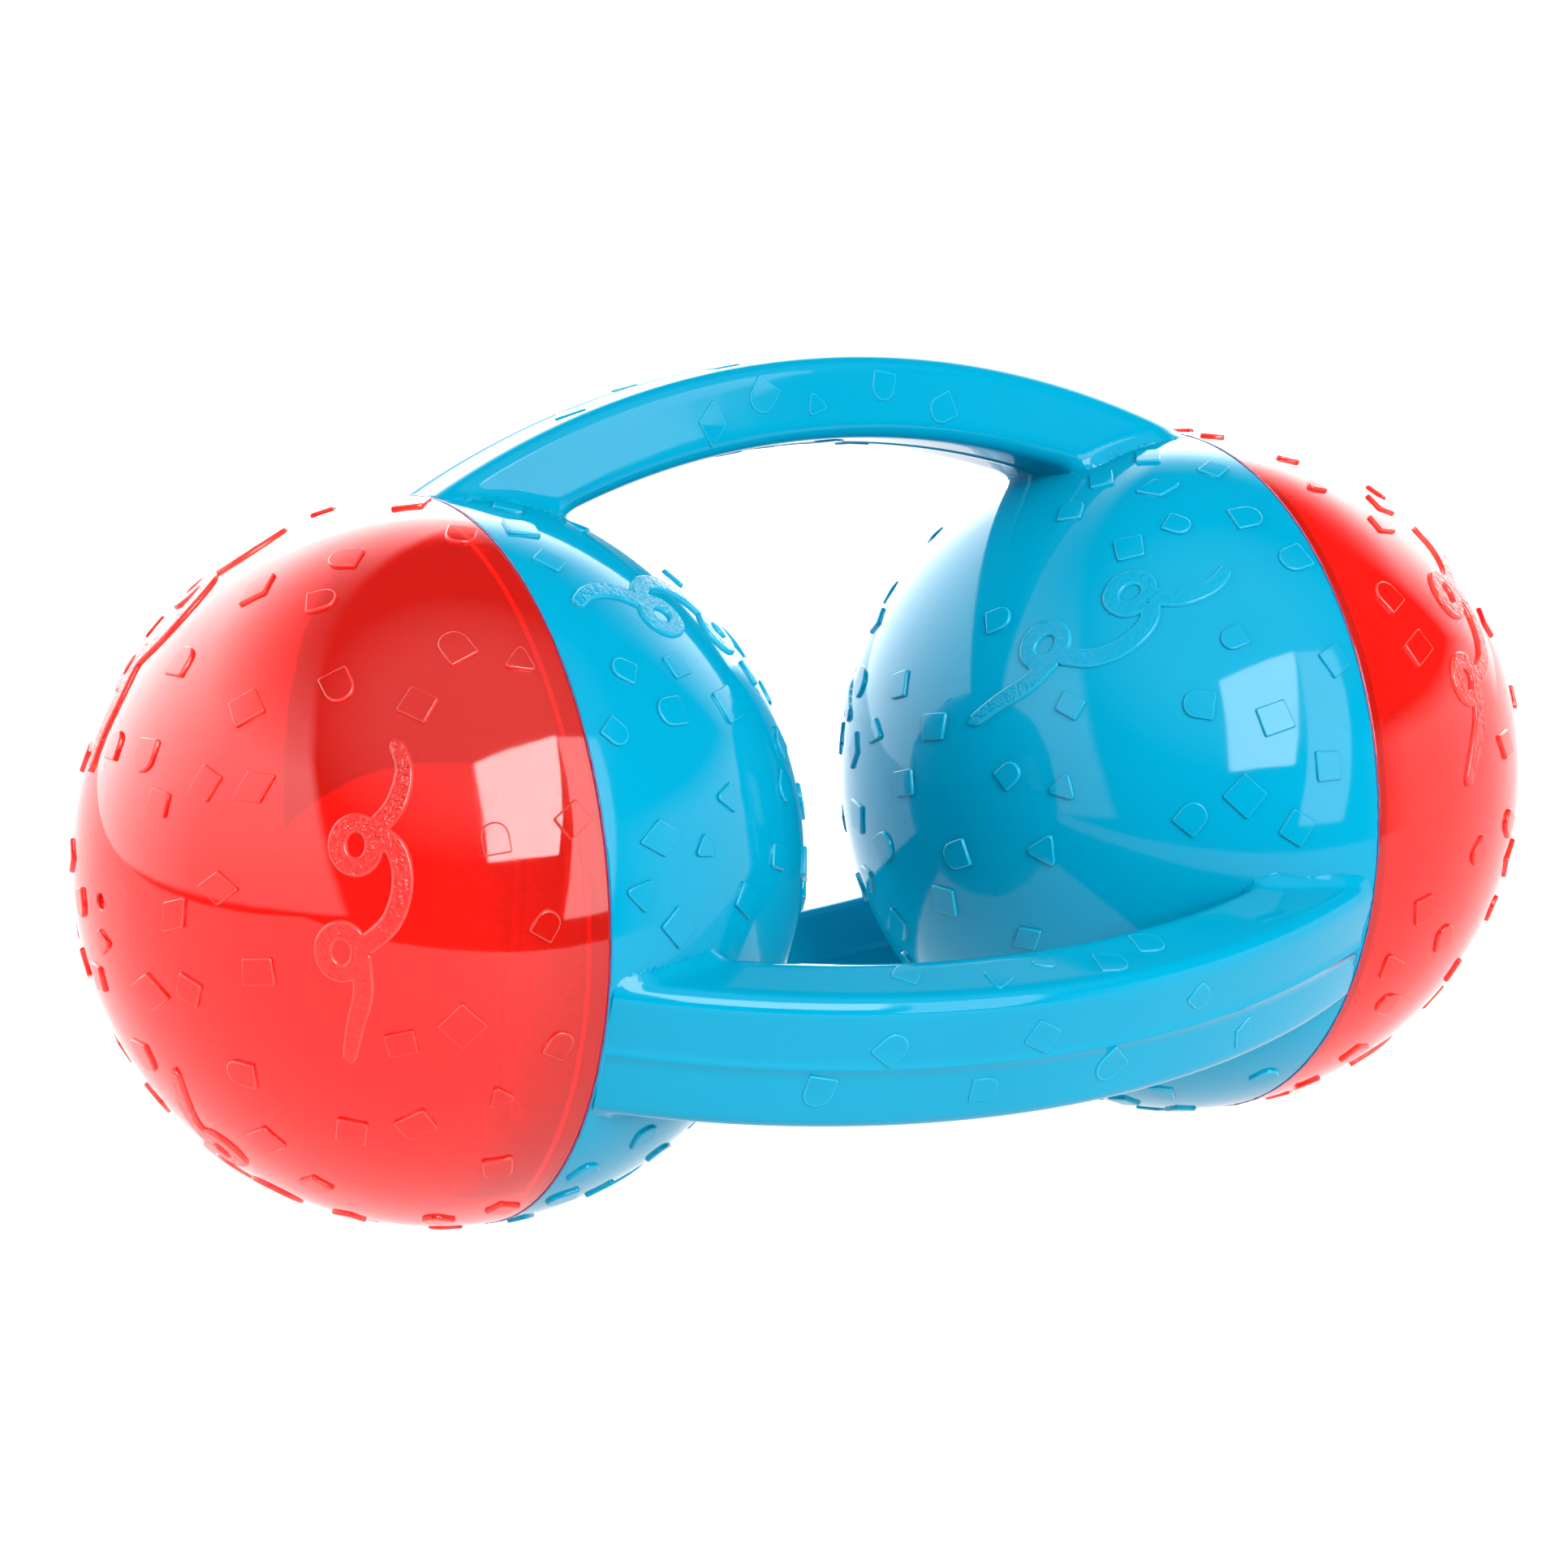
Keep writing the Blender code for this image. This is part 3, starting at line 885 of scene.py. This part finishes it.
# ---------------------------------------------------------------- loose balls
def seam_point(angle):
    wide = 1 - SEAM_WAIST
    return Vector((
        wide * math.cos(angle) + SEAM_WAIST * math.cos(3 * angle),
        wide * math.sin(angle) - SEAM_WAIST * math.sin(3 * angle),
        2 * math.sqrt(wide * SEAM_WAIST) * math.sin(2 * angle),
    )).normalized()


def felt_panel(turn, centre):
    """One dog-bone panel with rolled edges and an uneven nap."""
    rows, columns = 110, 30
    margin = (FELT_GAP / 2 - 0.35 * MM) / LOOSE_RADIUS
    first = -math.pi / 4 + 3 * margin
    span = math.pi - 6 * margin
    rng = random.Random(5)
    top, bottom = [], []
    for row in range(rows + 1):
        angle = first + span * row / rows
        near, far = seam_point(angle), seam_point(-angle - math.pi / 2)
        width = near.angle(far)
        inset = min(0.3, margin / width)
        high, low = [], []
        for column in range(columns + 1):
            share = inset + (1 - 2 * inset) * column / columns
            direction = turn @ near.slerp(far, share)
            edge = min(column, columns - column) / columns * width * LOOSE_RADIUS
            edge = min(edge, min(row, rows - row) * 1.2 * MM)
            roll = 1.1 * MM * math.exp(-edge / (0.7 * MM))
            nap = rng.uniform(-0.12, 0.12) * MM
            high.append(centre + direction * (LOOSE_RADIUS - 0.15 * MM - roll + nap))
            low.append(centre + direction * (LOOSE_RADIUS - FELT_THICKNESS))
        top.append(high)
        bottom.append(low)
    vertices = [p for line in top for p in line] + [p for line in bottom for p in line]
    step, under = columns + 1, (rows + 1) * (columns + 1)
    faces = []
    for r in range(rows):
        for c in range(columns):
            a, b = r * step + c, (r + 1) * step + c
            faces.append((a, b, b + 1, a + 1))
            faces.append((under + a, under + a + 1, under + b + 1, under + b))
    rim = ([c for c in range(columns)] + [r * step + columns for r in range(rows)]
           + [rows * step + c for c in range(columns, 0, -1)] + [r * step for r in range(rows, 0, -1)])
    for a, b in zip(rim, rim[1:] + rim[:1]):
        faces.append((a, b, under + b, under + a))
    return vertices, faces


def seam_bead(turn, centre):
    """The rubber line that fills the gap between the panels."""
    count, sides = 240, 10
    radius, width = LOOSE_RADIUS - 1.5 * MM, 1.05 * MM
    rings = []
    for i in range(count):
        here = turn @ seam_point(2 * math.pi * i / count)
        after = turn @ seam_point(2 * math.pi * (i + 1) / count)
        side = here.cross(after - here).normalized()
        ring = []
        for j in range(sides):
            a = 2 * math.pi * j / sides
            ring.append(centre + here * (radius + width * 0.8 * math.sin(a)) + side * width * math.cos(a))
        rings.append(ring)
    return skin(rings, True)


def build_loose_ball(name, side):
    low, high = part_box(f"{name}_felt_a")
    other_low, other_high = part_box(f"{name}_felt_b")
    middle_z = (min(low[2], other_low[2]) + max(high[2], other_high[2])) / 2
    centre = Vector((CENTRES[name].x, CENTRES[name].y, middle_z))
    tilt = Matrix.Rotation(math.radians(35) * side, 3, "X") @ Matrix.Rotation(math.radians(20), 3, "Y")
    flip = Matrix.Rotation(math.pi, 3, "X")
    body = f"{name}_loose_ball"
    for letter, turn in (("a", tilt), ("b", tilt @ flip)):
        vertices, faces = felt_panel(turn, centre)
        panel = make_object(f"{name}_felt_panel_{letter}", vertices, faces, MATERIALS["felt"])
        panel.data.set_sharp_from_angle(angle=math.radians(50))
        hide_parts(f"{name}_felt_{letter}")
        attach(panel, body)
    bead = make_object(f"{name}_seam_rubber", *seam_bead(tilt, centre), MATERIALS["seam_rubber"])
    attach(bead, body)


# ---------------------------------------------------------------- carried-over CAD nodes
def finish_nodes():
    looks = {"core": "rubber", "barrel": "natural", "plug": "natural", "reed": "film"}
    for node, obj in frame["nodes"].items():
        for word, look in looks.items():
            if word in node:
                obj.data.materials.clear()
                obj.data.materials.append(MATERIALS[look])


# ---------------------------------------------------------------- floor, light, camera
FLOOR_FRONT, FLOOR_LEFT, FLOOR_FAR = -0.235, -0.60, 4.0
FLOOR_GLOW = 1.04
ROOM, CEILING, BACKDROP = 0.04, 1.0, 1.1
SCREEN_LEFT, SCREEN_BACK, SCREEN_RIGHT, LOW_WALL = 2.1, 4.0, 5.0, 1.5


def build_floor():
    """A lit table top whose front and left edges are near the object."""
    level = -0.9 * MM
    corners = [(FLOOR_LEFT, FLOOR_FRONT, level), (FLOOR_FAR, FLOOR_FRONT, level),
               (FLOOR_FAR, FLOOR_FAR, level), (FLOOR_LEFT, FLOOR_FAR, level)]
    material, nodes, links, shader = principled("lit_table", (0.15, 0.15, 0.15), 0.6)
    shader.inputs["Emission Color"].default_value = (1.0, 1.0, 1.0, 1.0)
    grain = noise(nodes, links, 3.0, 2.0)
    links.new(ramp(nodes, links, grain, 0.3, 0.7, FLOOR_GLOW - 0.04, FLOOR_GLOW + 0.04),
              shader.inputs["Emission Strength"])
    floor = make_object("floor", corners, [(0, 1, 2, 3)], material)


def build_world():
    """White screens behind and on both sides, in a dark room with a dim ceiling.

    The camera itself sees plain white all round.
    """
    world = bpy.data.worlds.new("studio")
    bpy.context.scene.world = world
    world.use_nodes = True
    nodes, links = world.node_tree.nodes, world.node_tree.links
    direction = nodes.new("ShaderNodeTexCoord").outputs["Generated"]

    def along(axis, low, high, from_value=0.0, to_value=1.0):
        dot = nodes.new("ShaderNodeVectorMath")
        dot.operation = "DOT_PRODUCT"
        dot.inputs[1].default_value = axis
        links.new(direction, dot.inputs[0])
        return ramp(nodes, links, dot.outputs["Value"], low, high, from_value, to_value)

    def combine(operation, first, *others):
        for other in others:
            made = nodes.new("ShaderNodeMath")
            made.operation = operation
            links.new(first, made.inputs[0])
            links.new(other, made.inputs[1])
            first = made.outputs["Value"]
        return first

    up = (0.0, 0.0, 1.0)
    left = combine("MULTIPLY", along((-0.55, 0.75, -0.37), 0.02, 0.07), along(up, -0.095, -0.075),
                   along((0.0, 1.0, 0.0), 0.3, 0.95, SCREEN_LEFT, SCREEN_BACK))
    right = combine("MULTIPLY", along((0.5, 0.8, 0.3), 0.58, 0.95, 0.0, SCREEN_RIGHT),
                    along(up, 0.76, 0.48))
    low_wall = combine("MULTIPLY", along(up, 0.30, 0.18, 0.0, LOW_WALL),
                       along((1.0, 0.0, 0.0), 0.5, 0.75))
    screens = combine("MULTIPLY", combine("MAXIMUM", left, right, low_wall),
                      along(up, 0.93, 0.55), along(up, 0.0, 0.5, 1.0, 1.5))
    ceiling = along((-0.1, -0.55, 0.83), 0.70, 0.92, ROOM, CEILING)
    studio = combine("ADD", screens, ceiling)
    seen = nodes.new("ShaderNodeMix")
    links.new(nodes.new("ShaderNodeLightPath").outputs["Is Camera Ray"], seen.inputs["Factor"])
    links.new(studio, seen.inputs["A"])
    seen.inputs["B"].default_value = BACKDROP
    links.new(seen.outputs["Result"], nodes["Background"].inputs["Strength"])
    nodes["Background"].inputs["Color"].default_value = (1.0, 1.0, 1.0, 1.0)


# The softbox's plane, and each pane's radiance and corners (x, z) in it.
WINDOW_Y = -1.2
WINDOW_PANES = (
    (15.0, ((-0.31, 0.30), (0.16, 0.30), (0.47, 1.32), (-0.33, 1.14))),
    (5.2, ((0.165, -0.10), (0.52, -0.10), (0.92, 1.30), (0.475, 1.30))),
)


def build_window():
    """A tall softbox in front of the object, wider at the top, with a dimmer pane on its right."""
    for index, (radiance, corners) in enumerate(WINDOW_PANES):
        material, nodes, links, shader = principled(f"pane_{index}", (0.0, 0.0, 0.0), 1.0)
        shader.inputs["Emission Color"].default_value = (1.0, 1.0, 1.0, 1.0)
        cloth = noise(nodes, links, 6.0, 2.0)
        links.new(ramp(nodes, links, cloth, 0.3, 0.7, radiance * 0.97, radiance * 1.03),
                  shader.inputs["Emission Strength"])
        outline = [(x, WINDOW_Y, z) for x, z in corners]
        pane = make_object(f"pane_{index}", outline, [(3, 2, 1, 0)], material)
        pane.visible_camera = False


CAMERA_AZIMUTH = math.radians(-29.8)
CAMERA_ELEVATION = math.radians(11.9)
CAMERA_DISTANCE = 0.8455
CAMERA_SIDE = -6.2 * MM
CAMERA_RAISE = 4.6 * MM
LENS = 123.9


def build_camera():
    back = Vector((math.sin(CAMERA_AZIMUTH) * math.cos(CAMERA_ELEVATION),
                   -math.cos(CAMERA_AZIMUTH) * math.cos(CAMERA_ELEVATION), math.sin(CAMERA_ELEVATION)))
    right = Vector((math.cos(CAMERA_AZIMUTH), math.sin(CAMERA_AZIMUTH), 0.0))
    up = back.cross(right)
    data = bpy.data.cameras.new("camera")
    data.lens = LENS
    data.sensor_width = 36.0
    camera = bpy.data.objects.new("camera", data)
    bpy.context.scene.collection.objects.link(camera)
    camera.location = AXIS + back * CAMERA_DISTANCE + right * CAMERA_SIDE + up * CAMERA_RAISE
    camera.rotation_euler = Matrix((right, up, back)).transposed().to_euler()
    bpy.context.scene.camera = camera


def build():
    bpy.context.scene.view_settings.view_transform = "Standard"
    build_camera()
    build_world()
    build_floor()
    build_window()
    for index, (name, side) in enumerate(SIDES.items()):
        build_cap(name, side, 11 + index)
        build_bond(name, 21 + index)
        build_loose_ball(name, side)
    build_moulding()
    finish_nodes()


build()
